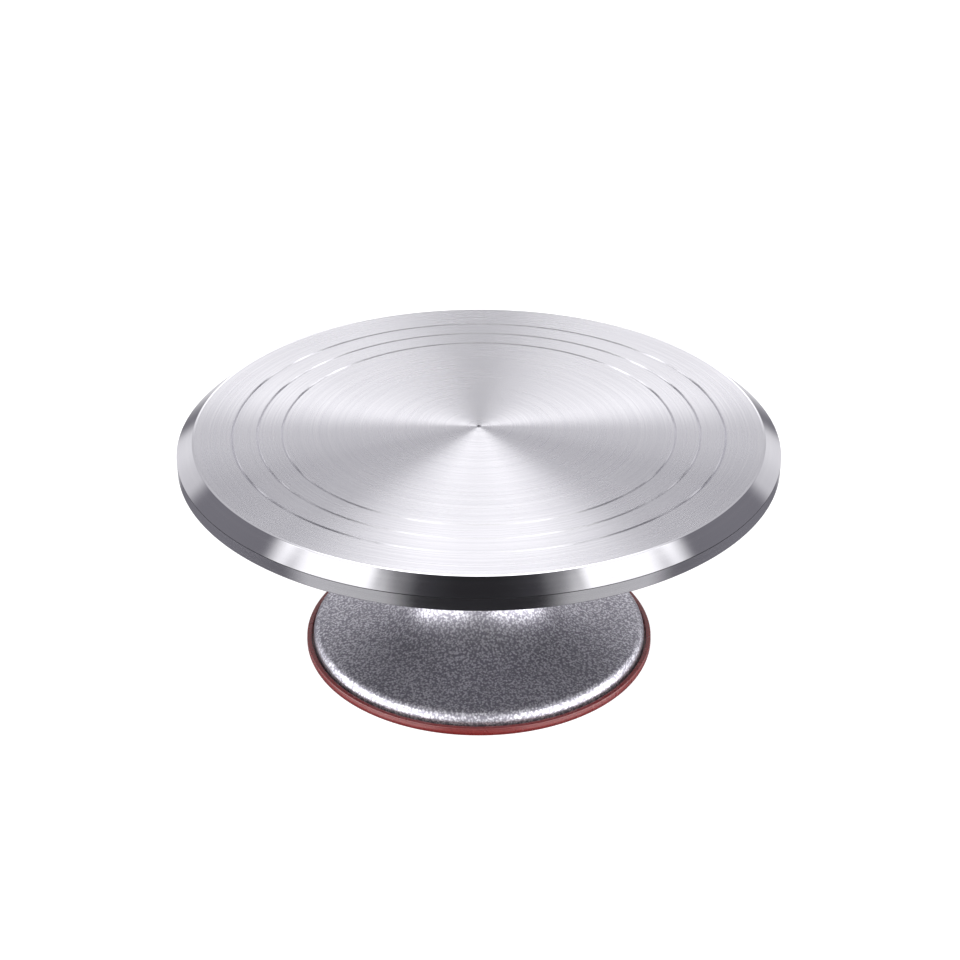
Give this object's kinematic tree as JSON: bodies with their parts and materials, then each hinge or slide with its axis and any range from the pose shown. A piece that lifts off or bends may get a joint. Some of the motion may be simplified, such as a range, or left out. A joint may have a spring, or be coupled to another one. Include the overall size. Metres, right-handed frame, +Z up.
{
  "type": "cake turntable",
  "caption": "Round decorating turntable: turned aluminium plate with guide grooves and a bevelled rim, spinning on ball bearings in a flared cast pedestal with a rubber foot ring.",
  "frame": {"origin": "centre of the foot ring's underside, on the surface the turntable stands on, on the spin axis", "axes": "+Z up along the spin axis; the object is round, so +X and +Y are any two horizontal directions, with a rib of the plate and a rib of the pedestal along +X"},
  "size_m": [0.305, 0.305, 0.126],
  "materials": {
    "plate_aluminium": "circular turned top, polished bevel",
    "cast_aluminium": "fine blasted casting skin",
    "foot_silicone": "satin brown-red silicone",
    "spindle_steel": "turned",
    "zinc_screws": "zinc plated",
    "bearing_steel": "ground",
    "cage_nylon": "moulded",
    "seal_rubber": "matt",
    "spring_steel": "oiled black oxide",
    "cover_plastic": "moulded"
  },
  "bodies": {
    "base": {"base_casting": "cast_aluminium", "foot_ring": "foot_silicone", "upper_bearing_outer_race": "bearing_steel", "lower_bearing_outer_race": "bearing_steel", "upper_bearing_seals": "seal_rubber", "lower_bearing_seals": "seal_rubber", "upper_circlip": "spring_steel", "lower_circlip": "spring_steel", "preload_spring": "spring_steel", "bottom_cover": "cover_plastic", "cover_screws": "zinc_screws"},
    "turntable": {"turntable_plate": "plate_aluminium", "spindle": "spindle_steel", "flange_screws": "zinc_screws", "upper_bearing_inner_race": "bearing_steel", "lower_bearing_inner_race": "bearing_steel", "bearing_spacer": "spindle_steel", "end_washer": "zinc_screws", "lock_washer": "spring_steel", "end_bolt": "zinc_screws"},
    "upper_cage": {"upper_bearing_cage": "cage_nylon", "upper_bearing_balls": "bearing_steel"},
    "lower_cage": {"lower_bearing_cage": "cage_nylon", "lower_bearing_balls": "bearing_steel"}
  },
  "joints": [
    {"name": "table_spin", "type": "hinge", "parent": "base", "child": "turntable", "pos_m": [0, 0, 0.126], "axis": [0, 0, 1], "continuous": true},
    {"name": "upper_cage_spin", "type": "hinge", "parent": "base", "child": "upper_cage", "pos_m": [0, 0, 0.096], "axis": [0, 0, 1], "continuous": true},
    {"name": "lower_cage_spin", "type": "hinge", "parent": "base", "child": "lower_cage", "pos_m": [0, 0, 0.057], "axis": [0, 0, 1], "continuous": true}
  ],
  "couplings": [
    {"joint": "upper_cage_spin", "follows": "table_spin", "ratio": 0.3816},
    {"joint": "lower_cage_spin", "follows": "table_spin", "ratio": 0.3816}
  ]
}
